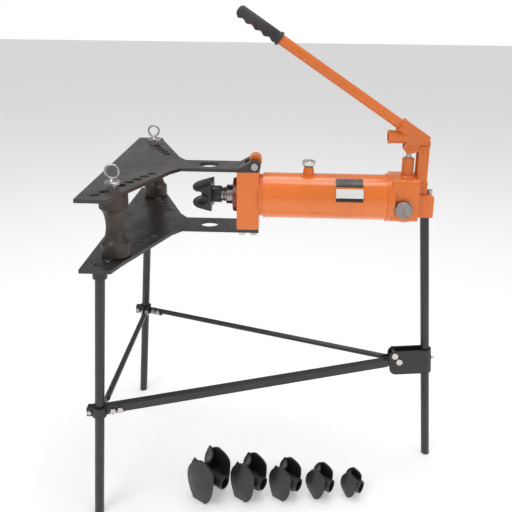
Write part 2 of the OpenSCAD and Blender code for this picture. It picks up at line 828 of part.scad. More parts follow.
module leg_collar(side) color("#232222") {
    difference() {
        union() {
            front_leg_frame(side) translate([0, 0, brace_z / cos(front_lean) - collar_h / 2])
                cylinder(d = leg_d + 11, h = collar_h);
            at_collar(side) {
                translate([-27, -9, -10]) cube([16, 18, 20]);
                rotate(brace_turn) translate([10, -ear_t / 2, -12]) cube([44, ear_t, 17]);
                translate([-ear_t / 2, 10, -12]) cube([ear_t, 28, 22]);
            }
        }
        front_leg_frame(side) cylinder(d = leg_d, h = 2 * brace_z);
        at_collar(side) {
            translate([-40, -1.5, -20]) cube([30, 3, 40]);
            translate([-20.5, 15, 0]) rotate([90, 0, 0]) cylinder(d = 6.4, h = 30);
            rotate(brace_turn) for (x = ear_bolts)
                translate([x, 8, -3]) rotate([90, 0, 0]) cylinder(d = bolt_d + 0.4, h = 16);
            translate([-6, cross_bolt, -1]) rotate([0, 90, 0]) cylinder(d = bolt_d + 0.4, h = 12);
        }
    }
}

module leg_collar_near() leg_collar(-1);
module leg_collar_far() leg_collar(1);

module collar_bolts() color("#bdb8b3") {
    for (side = [-1, 1]) at_collar(side) {
        translate([-20.5, 0, 0]) rotate([90, 0, 0]) through_bolt(6, -9, 9, 10);
        rotate(brace_turn) for (x = ear_bolts)
            translate([x, 0, -3]) rotate([90, 0, 0])
                through_bolt(bolt_d, -ear_t / 2, ear_t / 2 + (side < 0 ? 3 : tab_t), bolt_af);
        translate([0, cross_bolt, -1]) rotate([0, 90, 0])
            through_bolt(bolt_d, -ear_t / 2, ear_t / 2 + tab_t, bolt_af);
    }
}

// Flat end of a brace inside the rear bracket, on the near side
module brace_tab() {
    translate([mouth_x - tab_l, -tab_y - tab_t / 2, brace_z - 10]) difference() {
        cube([tab_l + 34, tab_t, 22]);
        translate([bracket_bolt[0] - mouth_x + tab_l, tab_t + 1, bracket_bolt[1] - brace_z + 10])
            rotate([90, 0, 0]) cylinder(d = bolt_d + 0.4, h = tab_t + 2);
    }
}

module brace_front() color("#1d1c1c") {
    angle_t = 3;
    brace_tab();
    difference() {
        at_collar(-1) rotate(brace_turn) {
            translate([14, -ear_t / 2 - angle_t, 9 - brace_w]) cube([brace_l - 14, angle_t, brace_w]);
            translate([14, -ear_t / 2 - angle_t, 9 - angle_t]) cube([brace_l - 14, brace_w, angle_t]);
        }
        front_leg_frame(-1) cylinder(d = leg_d + 12, h = 2 * brace_z);
        at_collar(-1) rotate(brace_turn) for (x = ear_bolts)
            translate([x, 8, -3]) rotate([90, 0, 0]) cylinder(d = bolt_d + 0.4, h = 20);
        translate([brace_end, -40, brace_z - 20]) cube([40, 60, 40]);
    }
}

module brace_rear() color("#1d1c1c") {
    tube_d = 14;
    mirror([0, 1, 0]) {
        brace_tab();
        at_collar(-1) rotate(brace_turn) {
            difference() {
                translate([16, -ear_t / 2 - tab_t, -10]) cube([42, tab_t, 15]);
                for (x = ear_bolts) translate([x, 8, -3]) rotate([90, 0, 0])
                    cylinder(d = bolt_d + 0.4, h = 20);
            }
            translate([56, -2, 0]) rotate([0, 90, 0]) cylinder(d = tube_d, h = brace_l - 72);
        }
        // Weld between the tube's end and its tab
        translate([brace_end - 12, -17, brace_z - 6]) cube([14, 11, 12]);
    }
}

module brace_cross() color("#1d1c1c") {
    tube_d = 14;
    half = leg_side - 46;
    translate([collar_x_front + ear_t / 2, 0, brace_z]) {
        for (s = [-1, 1]) difference() {
            translate([0, s * (half + 12) - 17, -13]) cube([tab_t, 34, 24]);
            translate([-1, s * (leg_side - cross_bolt), -1]) rotate([0, 90, 0])
                cylinder(d = bolt_d + 0.4, h = 8);
        }
        translate([tab_t / 2, half, 0]) rotate([90, 0, 0]) cylinder(d = tube_d, h = 2 * half);
    }
}

module rear_bracket() color("#1d1c1c") {
    wall = 5;
    ear_r = 16;
    difference() {
        rear_leg_frame() intersection() {
            translate([0, 0, bracket_z0]) linear_extrude(bracket_h) difference() {
                union() {
                    circle(leg_d / 2 + wall);
                    translate([-bracket_l, -leg_d / 2 - wall]) square([bracket_l, leg_d + 2 * wall]);
                }
                circle(leg_d / 2);
                translate([-bracket_l - 1, -leg_d / 2]) square([bracket_l + 1, leg_d]);
            }
            // Rounded ears
            slab(60) union() {
                translate([-bracket_l + ear_r, bracket_z0]) square([bracket_l + 10, bracket_h]);
                translate([-bracket_l + ear_r, bracket_z0 + ear_r]) circle(ear_r);
                translate([-bracket_l + ear_r, bracket_z0 + bracket_h - ear_r]) circle(ear_r);
                translate([-bracket_l, bracket_z0 + ear_r]) square([ear_r, bracket_h - 2 * ear_r]);
            }
        }
        for (p = [bracket_bolt, bracket_bolt_2]) y_cyl(bolt_d + 0.4, 60, p[0], p[1]);
        rear_leg_frame() translate([5, 0, bracket_z0 + 40]) rotate([0, 90, 0]) cylinder(d = bolt_d, h = 20);
    }
}

module bracket_bolts() color("#a8a4a0") {
    side = leg_d / 2 + 5;
    for (p = [bracket_bolt, bracket_bolt_2]) translate([p[0], 0, p[1]]) rotate([90, 0, 0])
        through_bolt(bolt_d, -side, side, bolt_af + 3);
    rear_leg_frame() translate([leg_d / 2, 0, bracket_z0 + 40]) rotate([0, 90, 0]) {
        cylinder(d = bolt_d, h = 6);
        translate([0, 0, 5]) hex_head(bolt_af, 6);
    }
}

// ---- Rollers and ring pins ----

roller_z0 = wing_z + 1;
roller_h = wing_gap - 2;
function waist_r(t) = roller_waist / 2
    + (roller_d - roller_waist) / 2 * (1 - sqrt(max(0, 1 - pow(2 * t - 1, 2) * 0.96))) / 0.8;

module roller(side) color("#2c2724") {
    steps = 20;
    edge = 2;
    r = roller_d / 2;
    bore = pin_d / 2 + fit;
    translate([pin_at[0], side * pin_at[1], roller_z0]) rotate_extrude() polygon(concat(
        [[bore, 0], [r - edge, 0], [r, edge]],
        [for (i = [0:steps]) [min(r, waist_r(i / steps)),
            roller_band + (roller_h - 2 * roller_band) * i / steps]],
        [[r, roller_h - edge], [r - edge, roller_h], [bore, roller_h]]));
}

module roller_near() roller(-1);
module roller_far() roller(1);

flange_z = up_z + plate_t + 10;
module ring_pin(side) color("#b3aeab") {
    flange_t = 6;
    ring_z = flange_z + flange_t + 3 + ring_d / 2 + ring_bar / 2;
    translate([pin_at[0], side * pin_at[1], 0]) {
        translate([0, 0, roller_z0 + 3]) cylinder(d = pin_d, h = flange_z - roller_z0 - 2.9);
        translate([0, 0, roller_z0 + 1]) cylinder(d1 = pin_d - 4, d2 = pin_d, h = 2);
        translate([0, 0, flange_z]) cylinder(d = 34, h = flange_t - 1);
        translate([0, 0, flange_z + flange_t - 1]) cylinder(d1 = 34, d2 = 31, h = 1);
        translate([0, 0, flange_z + flange_t - 0.1]) cylinder(d1 = 15, d2 = 9, h = 5);
        translate([0, 0, ring_z]) rotate([90, 0, 0]) rotate_extrude()
            translate([ring_d / 2, 0]) circle(d = ring_bar, $fn = 32);
    }
}

module ring_pin_near() ring_pin(-1);
module ring_pin_far() ring_pin(1);

// ---- Loose formers, standing on one end in front of the stand ----

former_side = -178;
former_x0 = -160;
former_turn = -35;
groove_r = [30, 24, 21, 17, 11];
function former_size(i) = former_l * 0.72 * (1 - 0.1 * (i - 1));

module loose_former(i) color("#1e1d1c") {
    l = former_size(i);
    r = groove_r[i - 1];
    w = 2 * r + 22;
    depth = 0.3 * l;
    neck = 0.32 * l;
    x = former_x0 + former_step * (i - 1) - 3 * (i - 1) * (i - 1);
    translate([x, former_side + 4 * (i - 1), l / 2]) rotate(former_turn) rotate([90, 0, 0])
        former(w, l, r, depth, [34, depth + neck * 0.6], [spigot_d + 2 * fit, 26]);
}

module loose_former_1() loose_former(1);
module loose_former_2() loose_former(2);
module loose_former_3() loose_former(3);
module loose_former_4() loose_former(4);
module loose_former_5() loose_former(5);

// ---- Drawing ----

lower_wing();
upper_wing();
head_block();
head_block_bolts();
hinge_pin();
gland_ring();
gland_set_screw();
rod_seal();
ram_rod();
nose_ring();
mounted_former();
piston_head();
piston_seal();
return_spring();
pressure_cylinder();
reservoir_tube();
front_collar();
filler_neck();
filler_cap();
cap_seal();
data_plate();
pump_base();
pump_barrel();
pump_plunger();
plunger_seal();
check_balls();
check_springs();
check_plugs();
release_knob();
release_spindle();
handle_socket();
plunger_pin();
handle_tube();
handle_grip();
link_plates();
link_pin();
base_pin();
leg_sockets();
leg_near();
leg_far();
leg_rear();
rear_clamp();
clamp_bolt();
leg_collar_near();
leg_collar_far();
collar_bolts();
brace_front();
brace_cross();
brace_rear();
rear_bracket();
bracket_bolts();
roller_near();
roller_far();
ring_pin_near();
ring_pin_far();
loose_former_1();
loose_former_2();
loose_former_3();
loose_former_4();
loose_former_5();
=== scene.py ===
import math

import bmesh
import bpy
from mathutils import Matrix, Vector


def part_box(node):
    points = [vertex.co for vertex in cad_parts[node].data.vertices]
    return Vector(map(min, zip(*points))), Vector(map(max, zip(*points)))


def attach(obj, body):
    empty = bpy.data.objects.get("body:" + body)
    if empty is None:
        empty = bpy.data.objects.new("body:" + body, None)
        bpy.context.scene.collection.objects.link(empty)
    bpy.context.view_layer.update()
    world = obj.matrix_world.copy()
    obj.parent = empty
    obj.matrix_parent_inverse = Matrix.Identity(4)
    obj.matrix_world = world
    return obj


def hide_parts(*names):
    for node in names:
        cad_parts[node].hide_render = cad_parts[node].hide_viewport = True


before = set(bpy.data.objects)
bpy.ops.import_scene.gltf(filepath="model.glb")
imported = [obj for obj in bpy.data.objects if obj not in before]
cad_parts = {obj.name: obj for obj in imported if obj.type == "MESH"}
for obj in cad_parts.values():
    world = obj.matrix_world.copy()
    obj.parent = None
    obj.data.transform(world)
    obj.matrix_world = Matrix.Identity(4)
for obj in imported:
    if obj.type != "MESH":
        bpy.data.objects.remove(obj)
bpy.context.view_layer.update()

bl_info = {
    "name": "Tripod tube bender",
    "version": (1, 0, 0),
    "blender": (4, 5, 0),
    "location": "View3D > Sidebar > Bender",
    "description": "Dresses the packed tube bender with its castings, paint, steel and rubber",
    "category": "Object",
}

RAM_Z = 0.710                   # height of the ram's axis, in metres like every size here
TANK_R = 0.054                  # radius of the reservoir
HANDLE_SLOPE = math.radians(33.8)
MOUTH = Vector((0.275, 0.0, 0.885))
ALONG_HANDLE = Vector((-math.cos(HANDLE_SLOPE), 0.0, math.sin(HANDLE_SLOPE)))
GROOVES = (0.030, 0.024, 0.021, 0.017, 0.011)   # groove radii of the loose formers
FORMER_SIZE = 0.1620               # length of the largest former before its share is taken
FORMER_SHARE = 0.72             # of that size, for the largest loose former
SIZE_DROP = 0.1                 # share that each next former loses
FORMER_STEP = 0.0980
SPIGOT_R = 0.01205              # bore of a former's hub
HUB_END = 0.492                 # end of a hub behind the groove, as a share of the length
LOOKS = {}                      # materials that are made once and shared


# ---- Small tools ----

def upright_to(direction, place):
    """A frame whose Z runs along a direction, at a place."""
    turn = direction.to_track_quat("Z", "Y").to_matrix().to_4x4()
    return Matrix.Translation(place) @ turn


def curve(start, pull, end, steps):
    """Points along a curve that leaves its start for a pull point and arrives at its end."""
    points = []
    for k in range(steps):
        t = k / steps
        points.append(tuple((1 - t) ** 2 * a + 2 * t * (1 - t) * b + t * t * c
                            for a, b, c in zip(start, pull, end)))
    return points


def finished(bm, name, look, body, replaces=(), bevel=0.0, smooth_angle=32.0):
    """Turns a bmesh into a piece that rides on its body."""
    limit = math.radians(smooth_angle)
    for face in bm.faces:
        face.smooth = True
    for edge in bm.edges:
        sharp = len(edge.link_faces) == 2 and edge.calc_face_angle(0.0) > limit
        edge.smooth = not sharp
    mesh = bpy.data.meshes.new(name)
    bm.to_mesh(mesh)
    bm.free()
    piece = bpy.data.objects.new(name, mesh)
    bpy.context.scene.collection.objects.link(piece)
    for item in look if isinstance(look, (list, tuple)) else [look]:
        mesh.materials.append(item)
    if bevel:
        edge_round = piece.modifiers.new("Rounded edges", "BEVEL")
        edge_round.width = bevel
        edge_round.segments = 2
        edge_round.limit_method = "ANGLE"
        edge_round.angle_limit = math.radians(38)
        edge_round.harden_normals = True
    if replaces:
        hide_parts(*replaces)
    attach(piece, body)
    return piece


def dressed(node, name, look, body, bevel=0.0007, smooth_angle=32.0):
    """A copy of a CAD node with its triangles joined, its edges rounded and a finish on it."""
    bm = bmesh.new()
    bm.from_mesh(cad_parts[node].data)
    bmesh.ops.remove_doubles(bm, verts=bm.verts, dist=0.00002)
    bmesh.ops.dissolve_limit(bm, angle_limit=0.0087, verts=bm.verts, edges=bm.edges)
    return finished(bm, name, look, body, (node,), bevel, smooth_angle)


# ---- Finishes ----

class Finish:
    """A material under construction, with its shader and shorthands for its nodes."""

    def __init__(self, name, colour, rough, metal=0.0, coat=0.0, coat_rough=0.1, specular=0.5):
        self.material = bpy.data.materials.new(name)
        self.material.use_nodes = True
        self.material.diffuse_color = (*colour, 1)
        self.tree = self.material.node_tree
        self.shader = self.tree.nodes["Principled BSDF"]
        self.put("Base Color", (*colour, 1))
        self.put("Roughness", rough)
        self.put("Metallic", metal)
        self.put("Coat Weight", coat)
        self.put("Coat Roughness", coat_rough)
        self.put("Specular IOR Level", specular)
        self.place = self.node("ShaderNodeTexCoord").outputs["Object"]

    def put(self, socket, value):
        self.shader.inputs[socket].default_value = value

    def node(self, kind, **inputs):
        made = self.tree.nodes.new(kind)
        for key, value in inputs.items():
            if key in made.inputs:
                made.inputs[key].default_value = value
            else:
                setattr(made, key, value)
        return made

    def join(self, a, b):
        self.tree.links.new(a, b)

    def noise(self, scale, detail=3.0, rough=0.5, stretch=None):
        """Noise in object space, drawn out along an axis where stretch is given."""
        made = self.node("ShaderNodeTexNoise", Scale=scale, Detail=detail, Roughness=rough)
        if stretch:
            mapping = self.node("ShaderNodeMapping", Scale=stretch)
            self.join(self.place, mapping.inputs["Vector"])
            self.join(mapping.outputs["Vector"], made.inputs["Vector"])
        else:
            self.join(self.place, made.inputs["Vector"])
        return made.outputs["Fac"]

    def ramp(self, factor, *stops):
        made = self.node("ShaderNodeValToRGB")
        first, last = made.color_ramp.elements
        first.position, first.color = stops[0][0], (*stops[0][1], 1)
        last.position, last.color = stops[-1][0], (*stops[-1][1], 1)
        for position, colour in stops[1:-1]:
            made.color_ramp.elements.new(position).color = (*colour, 1)
        self.join(factor, made.inputs["Fac"])
        return made.outputs["Color"]

    def mix(self, factor, a, b):
        made = self.node("ShaderNodeMix", data_type="RGBA")
        self.join(factor, made.inputs[0])
        for value, socket in ((a, made.inputs[6]), (b, made.inputs[7])):
            if isinstance(value, tuple):
                socket.default_value = (*value, 1)
            else:
                self.join(value, socket)
        return made.outputs[2]

    def span(self, factor, low, high, out_low, out_high):
        made = self.node("ShaderNodeMapRange")
        made.inputs["From Min"].default_value = low
        made.inputs["From Max"].default_value = high
        made.inputs["To Min"].default_value = out_low
        made.inputs["To Max"].default_value = out_high
        self.join(factor, made.inputs["Value"])
        return made.outputs["Result"]

    def colour(self, source):
        self.join(source, self.shader.inputs["Base Color"])

    def roughness(self, source):
        self.join(source, self.shader.inputs["Roughness"])

    def bump(self, *heights):
        """Bumps, each as (height, strength, depth in metres), one on top of the other."""
        below = None
        for height, strength, depth in heights:
            made = self.node("ShaderNodeBump", Strength=strength, Distance=depth)
            self.join(height, made.inputs["Height"])
            if below:
                self.join(below, made.inputs["Normal"])
            below = made.outputs["Normal"]
        self.join(below, self.shader.inputs["Normal"])


def shade(colour, factor):
    return tuple(min(1.0, c * factor) for c in colour)


def enamel(name, colour, rough=0.24, coat=0.5, peel=0.12, cast=0.0, dull=0.86):
    """Sprayed gloss paint: slow drifts of tone, orange peel, and fine dust nibs."""
    f = Finish(name, colour, rough, coat=coat, coat_rough=0.12)
    drift = f.noise(5.5, 4)
    tone = f.ramp(drift, (0.32, shade(colour, dull)), (0.5, colour), (0.7, shade(colour, 1.08)))
    nibs = f.span(f.noise(420, 1), 0.70, 0.76, 0.0, 0.6)
    f.colour(f.mix(nibs, tone, shade(colour, 0.62)))
    f.roughness(f.span(f.noise(38, 5), 0.3, 0.7, rough * 0.75, rough * 1.45))
    heights = [(f.noise(150, 2), peel, 0.0006)]
    if cast:
        heights.append((f.noise(62, 6, 0.62), cast, 0.0012))
    f.bump(*heights)
    return f.material


def black_finish(name, colour, rough=0.38, cast=0.0, wear=0.16, coat=0.15):
    """Black paint on steel, with rubbed patches and fine scuffs."""
    f = Finish(name, colour, rough, coat=coat, coat_rough=0.22)
    drift = f.noise(7, 5)
    tone = f.ramp(drift, (0.3, shade(colour, 0.7)), (0.55, colour), (0.75, shade(colour, 1.5)))
    scuffs = f.span(f.noise(70, 6, 0.7, (1, 0.12, 1)), 0.64, 0.74, 0.0, wear)
    f.colour(f.mix(scuffs, tone, (0.30, 0.28, 0.26)))
    f.roughness(f.span(f.noise(26, 5), 0.3, 0.72, rough * 0.8, rough * 1.4))
    heights = [(f.noise(320, 2), 0.10, 0.0004)]
    if cast:
        heights.append((f.noise(85, 7, 0.66), cast, 0.0012))
    f.bump(*heights)
    return f.material


def steel(name, colour, rough=0.28, stretch=(1, 1, 1), scale=220, marks=0.25, metal=1.0):
    """Worked steel, whose fine marks are drawn out across the axis they were turned about."""
    f = Finish(name, colour, rough, metal=metal)
    lines = f.noise(scale, 3, 0.6, stretch)
    cloud = f.noise(24, 4)
    tone = f.ramp(cloud, (0.3, shade(colour, 0.8)), (0.7, shade(colour, 1.12)))
    f.colour(f.mix(f.span(lines, 0.4, 0.75, 0.0, 0.4), tone, shade(colour, 0.66)))
    f.roughness(f.span(lines, 0.3, 0.7, rough * 0.75, rough * 1.5))
    f.bump((lines, marks, 0.0003))
    return f.material


def make_looks():
    orange = (0.86, 0.195, 0.022)
    LOOKS["orange"] = enamel("Orange enamel", orange)
    LOOKS["orange_cast"] = enamel("Orange enamel on castings", shade(orange, 0.94), 0.28, 0.4, 0.15, 0.30)
    LOOKS["orange_deep"] = enamel("Orange enamel on levers", shade(orange, 0.84), 0.3, 0.35, 0.14, 0.15)
    LOOKS["red"] = enamel("Oxide red enamel", (0.20, 0.026, 0.014), 0.32, 0.3, 0.14, 0.12)
    LOOKS["plate"] = black_finish("Black painted plate", (0.034, 0.030, 0.027), 0.36, 0.05, 0.20, 0.2)
    LOOKS["tube"] = black_finish("Black painted tube", (0.014, 0.0135, 0.013), 0.34, 0.0, 0.12, 0.25)
    LOOKS["fitting"] = black_finish("Black painted fittings", (0.017, 0.0165, 0.016), 0.4, 0.12, 0.14)
    LOOKS["former"] = black_finish("Black casting", (0.020, 0.0195, 0.019), 0.42, 0.42, 0.10)
    LOOKS["roller"] = steel("Blackened roller steel", (0.085, 0.070, 0.060), 0.42, (1, 1, 9), 120, 0.25, 0.75)
    LOOKS["ram"] = steel("Ground ram steel", (0.36, 0.34, 0.335), 0.2, (14, 1, 1), 90, 0.15)
    LOOKS["zinc"] = steel("Zinc plated steel", (0.62, 0.59, 0.56), 0.32, (1, 1, 1), 300, 0.2)
    LOOKS["pin"] = steel("Turned pin steel", (0.52, 0.49, 0.48), 0.3, (1, 1, 12), 110, 0.2)
    LOOKS["dark_steel"] = steel("Dark steel", (0.24, 0.225, 0.22), 0.34, (1, 1, 1), 260, 0.25)
    LOOKS["knob"] = steel("Turned knob steel", (0.34, 0.31, 0.305), 0.36, (1, 9, 1), 120, 0.25)
    LOOKS["cap"] = steel("Bright plated cap", (0.80, 0.80, 0.79), 0.16, (1, 1, 1), 200, 0.1)
    LOOKS["rubber"] = grip_rubber("Grip rubber", (0.040, 0.038, 0.038))
    LOOKS["seal"] = grip_rubber("Seal rubber", (0.020, 0.020, 0.020), 0.45)
    LOOKS["nose"] = enamel("Brown red plastic", (0.24, 0.070, 0.040), 0.42, 0.0, 0.08)
    LOOKS["label_black"] = enamel("Label black", (0.012, 0.012, 0.013), 0.3, 0.3, 0.03)
    LOOKS["label_white"] = enamel("Label white", (0.80, 0.80, 0.78), 0.32, 0.3, 0.03, 0, 0.96)
    LOOKS["label_orange"] = enamel("Label orange", (0.80, 0.20, 0.03), 0.32, 0.3, 0.03)


def grip_rubber(name, colour, rough=0.62):
    f = Finish(name, colour, rough, specular=0.4)
    f.colour(f.ramp(f.noise(30, 5), (0.3, shade(colour, 0.75)), (0.7, shade(colour, 1.5))))
    f.roughness(f.span(f.noise(55, 4), 0.3, 0.7, rough * 0.85, rough * 1.2))
    f.bump((f.noise(700, 2), 0.25, 0.0004), (f.noise(90, 5), 0.12, 0.0006))
    return f.material


# ---- Sizes that a user may change ----

class GripSizes(bpy.types.PropertyGroup):
    radius: bpy.props.FloatProperty(
        name="Radius", description="Radius of the grip", default=0.0150, unit="LENGTH")
    dent: bpy.props.FloatProperty(
        name="Finger dents", description="Depth of the four finger dents", default=0.0042, unit="LENGTH")


class StageSizes(bpy.types.PropertyGroup):
    floor: bpy.props.FloatProperty(
        name="Floor", description="Side of the floor", default=40.0, unit="LENGTH")
    light: bpy.props.FloatProperty(
        name="Light", description="Strength of the soft lights", default=1.0, min=0.0)


# ---- Pieces ----

class BENDER_OT_wings(bpy.types.Operator):
    """The two wing plates, with the upper one's hinge barrel"""
    bl_idname = "bender.wings"
    bl_label = "Wings"

    def execute(self, context):
        dressed("lower_wing", "lower_wing_plate", LOOKS["plate"], "frame", 0.0006)
        dressed("upper_wing", "upper_wing_plate", LOOKS["plate"], "wing", 0.0006)
        return {"FINISHED"}


class BENDER_OT_head(bpy.types.Operator):
    """The head block between the wings, its hinge pin, bolts and gland"""
    bl_idname = "bender.head"
    bl_label = "Head block"

    def execute(self, context):
        dressed("head_block", "head_casting", LOOKS["orange_cast"], "frame", 0.0016)
        dressed("hinge_pin", "wing_hinge_pin", LOOKS["pin"], "frame", 0.0008)
        dressed("head_block_bolts", "head_bolts", LOOKS["zinc"], "frame")
        dressed("gland_ring", "gland_flange", LOOKS["red"], "frame", 0.0012)
        dressed("gland_set_screw", "gland_screws", LOOKS["dark_steel"], "frame", 0.0003)
        return {"FINISHED"}


class BENDER_OT_ram(bpy.types.Operator):
    """The ram with its collar, ring and piston, and the former on its nose"""
    bl_idname = "bender.ram"
    bl_label = "Ram and former"

    def execute(self, context):
        dressed("ram_rod", "ram_bar", LOOKS["ram"], "ram", 0.0006)
        dressed("nose_ring", "ram_nose_ring", LOOKS["nose"], "ram", 0.0004)
        dressed("piston_head", "ram_piston", LOOKS["dark_steel"], "ram", 0.0005)
        dressed("mounted_former", "working_former", LOOKS["former"], "former", 0.0012)
        return {"FINISHED"}


class BENDER_OT_reservoir(bpy.types.Operator):
    """The oil reservoir, its collar, filler and cap"""
    bl_idname = "bender.reservoir"
    bl_label = "Reservoir"

    def execute(self, context):
        dressed("reservoir_tube", "oil_reservoir", LOOKS["orange"], "frame", 0.001)
        dressed("front_collar", "reservoir_collar", LOOKS["orange_cast"], "frame", 0.001)
        dressed("filler_neck", "filler_boss", LOOKS["orange_cast"], "frame", 0.001)
        dressed("filler_cap", "oil_cap", LOOKS["cap"], "cap", 0.0004)
        dressed("cap_seal", "oil_cap_seal", LOOKS["seal"], "cap", 0.0004)
        dressed("pressure_cylinder", "ram_cylinder", LOOKS["dark_steel"], "frame", 0.0004)
        return {"FINISHED"}


class BENDER_OT_label(bpy.types.Operator):
    """A plain label on the reservoir: black, with a pale field between orange stripes"""
    bl_idname = "bender.label"
    bl_label = "Label"

    def execute(self, context):
        low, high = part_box("data_plate")
        radius = TANK_R + 0.0005
        bottom = math.asin(max(-1.0, (low.z - RAM_Z) / radius))
        top = math.asin((high.z - RAM_Z) / (TANK_R + 0.0008))
        bands = [low.x, low.x + 0.0018, high.x - 0.0018, high.x]
        bm = bmesh.new()
        row = []
        for x in bands:
            start = (x, -radius * math.cos(bottom), RAM_Z + radius * math.sin(bottom))
            made = bmesh.ops.create_vert(bm, co=start)
            row.extend(made["vert"])
        edges = [bm.edges.new(pair) for pair in zip(row, row[1:])]
        bmesh.ops.spin(bm, geom=row + edges, axis=(1, 0, 0), cent=(0, 0, RAM_Z),
                       angle=-(top - bottom), steps=44, use_merge=False, use_duplicate=False)
        for face in bm.faces:
            middle = face.calc_center_median()
            rise = math.atan2(middle.z - RAM_Z, -middle.y)
            part = (rise - bottom) / (top - bottom)
            inside = bands[1] < middle.x < bands[2]
            if not inside or part < 0.03 or part > 0.97:
                face.material_index = 2
            elif 0.17 < part < 0.51:
                face.material_index = 1
            elif 0.51 <= part < 0.56:
                face.material_index = 2
        bmesh.ops.recalc_face_normals(bm, faces=bm.faces)
        bmesh.ops.solidify(bm, geom=bm.faces[:], thickness=-0.0004)
        looks = [LOOKS["label_black"], LOOKS["label_white"], LOOKS["label_orange"]]
        finished(bm, "reservoir_label", looks, "frame", ("data_plate",))
        return {"FINISHED"}


class BENDER_OT_pump(bpy.types.Operator):
    """The pump base, barrel, plunger, plugs and release valve"""
    bl_idname = "bender.pump"
    bl_label = "Pump"

    def execute(self, context):
        dressed("pump_base", "pump_casting", LOOKS["orange_cast"], "frame", 0.0014)
        dressed("pump_barrel", "pump_cylinder", LOOKS["orange_deep"], "frame", 0.0008)
        dressed("pump_plunger", "pump_rod", LOOKS["pin"], "plunger", 0.0004)
        dressed("check_plugs", "valve_plugs", LOOKS["red"], "frame", 0.0006)
        dressed("release_knob", "release_disc", LOOKS["knob"], "valve", 0.0005)
        dressed("release_spindle", "release_stem", LOOKS["pin"], "valve", 0.0003)
        return {"FINISHED"}


class BENDER_OT_lever(bpy.types.Operator):
    """The rocker with its two handle sockets, the link and their pins, and the handle"""
    bl_idname = "bender.lever"
    bl_label = "Lever"

    def execute(self, context):
        dressed("handle_socket", "rocker_casting", LOOKS["orange_deep"], "rocker", 0.0012)
        dressed("plunger_pin", "rocker_pin", LOOKS["orange_deep"], "rocker", 0.0006)
        dressed("handle_tube", "handle_bar", LOOKS["orange_deep"], "rocker", 0.0006)
        dressed("link_plates", "link_bars", LOOKS["orange_deep"], "link", 0.0008)
        dressed("link_pin", "link_top_pin", LOOKS["orange_deep"], "link", 0.0006)
        dressed("base_pin", "link_foot_pin", LOOKS["orange_deep"], "frame", 0.0006)
        return {"FINISHED"}


class BENDER_OT_grip(bpy.types.Operator):
    """The rubber grip, with a collar, a rounded end and four finger dents below"""
    bl_idname = "bender.grip"
    bl_label = "Grip"

    def execute(self, context):
        sizes = context.scene.bender_grip
        start, length, rows, around = 0.336, 0.115, 92, 48
        place = upright_to(ALONG_HANDLE, MOUTH + ALONG_HANDLE * start)
        down = (place.to_3x3().inverted() @ Vector((0, 0, -1))).xy.normalized()
        bm = bmesh.new()
        ring = bmesh.ops.create_circle(bm, segments=around, radius=1.0)["verts"]
        base = [v.co.copy() for v in ring]

        def spread(verts, along):
            z = along * length
            radius = sizes.radius - 0.0012
            if z < 0.005:
                radius = sizes.radius + 0.0012
            elif z < 0.008:
                radius += 0.0024 * (0.008 - z) / 0.003
            end = (z - (length - 0.009)) / 0.009
            if end > 0:
                radius *= math.sqrt(max(0.0, 1 - 0.9 * end * end))
            for v, b in zip(verts, base):
                facing = max(0.0, b.xy.dot(down))
                pad = 0.0016 * facing ** 2 if 0.010 < z < length - 0.008 else 0.0
                wave = 0.5 - 0.5 * math.cos(2 * math.pi * (z - 0.012) / 0.0235)
                dent = sizes.dent * wave * facing ** 1.5 if 0.012 < z < 0.106 else 0.0
                reach = radius + pad - dent
                v.co = Vector((b.x * reach, b.y * reach, z))

        spread(ring, 0.0)
        bmesh.ops.contextual_create(bm, geom=list({e for v in ring for e in v.link_edges}))
        current = list(ring)
        for row in range(1, rows + 1):
            edges = [e for v in current for e in v.link_edges if e.other_vert(v) in set(current)]
            made = bmesh.ops.extrude_edge_only(bm, edges=list(set(edges)))
            fresh = [v for v in made["geom"] if isinstance(v, bmesh.types.BMVert)]
            by_place = {tuple(round(c, 7) for c in v.co): v for v in fresh}
            current = [by_place[tuple(round(c, 7) for c in v.co)] for v in current]
            spread(current, row / rows)
        bmesh.ops.contextual_create(bm, geom=list({e for v in current for e in v.link_edges
                                                   if e.other_vert(v) in set(current)}))
        bmesh.ops.transform(bm, verts=bm.verts[:], matrix=place)
        bmesh.ops.recalc_face_normals(bm, faces=bm.faces[:])
        finished(bm, "hand_grip", LOOKS["rubber"], "rocker", ("handle_grip",), smooth_angle=60)
        return {"FINISHED"}


class BENDER_OT_stand(bpy.types.Operator):
    """The three legs with their sockets, clamp, collars, braces and bracket"""
    bl_idname = "bender.stand"
    bl_label = "Stand"

    def execute(self, context):
        for node in ("leg_near", "leg_far", "leg_rear"):
            dressed(node, node + "_tube", LOOKS["tube"], "frame", 0.0005)
        for node in ("leg_sockets", "leg_collar_near", "leg_collar_far", "rear_bracket"):
            dressed(node, node + "_steel", LOOKS["fitting"], "frame", 0.0007)
        for node in ("brace_front", "brace_cross", "brace_rear"):
            dressed(node, node + "_bar", LOOKS["tube"], "frame", 0.0005)
        dressed("rear_clamp", "rear_clamp_casting", LOOKS["orange_cast"], "frame", 0.0014)
        for node in ("clamp_bolt", "collar_bolts", "bracket_bolts"):
            dressed(node, node + "_set", LOOKS["zinc"], "frame", 0.0004)
        return {"FINISHED"}


class BENDER_OT_rollers(bpy.types.Operator):
    """The two rollers and the ring pins that carry them"""
    bl_idname = "bender.rollers"
    bl_label = "Rollers and pins"

    def execute(self, context):
        for side in ("near", "far"):
            dressed("roller_" + side, "waisted_roller_" + side, LOOKS["roller"],
                    "roller_" + side, 0.0008)
            dressed("ring_pin_" + side, "pull_pin_" + side, LOOKS["pin"],
                    "pin_" + side, 0.0006)
        return {"FINISHED"}


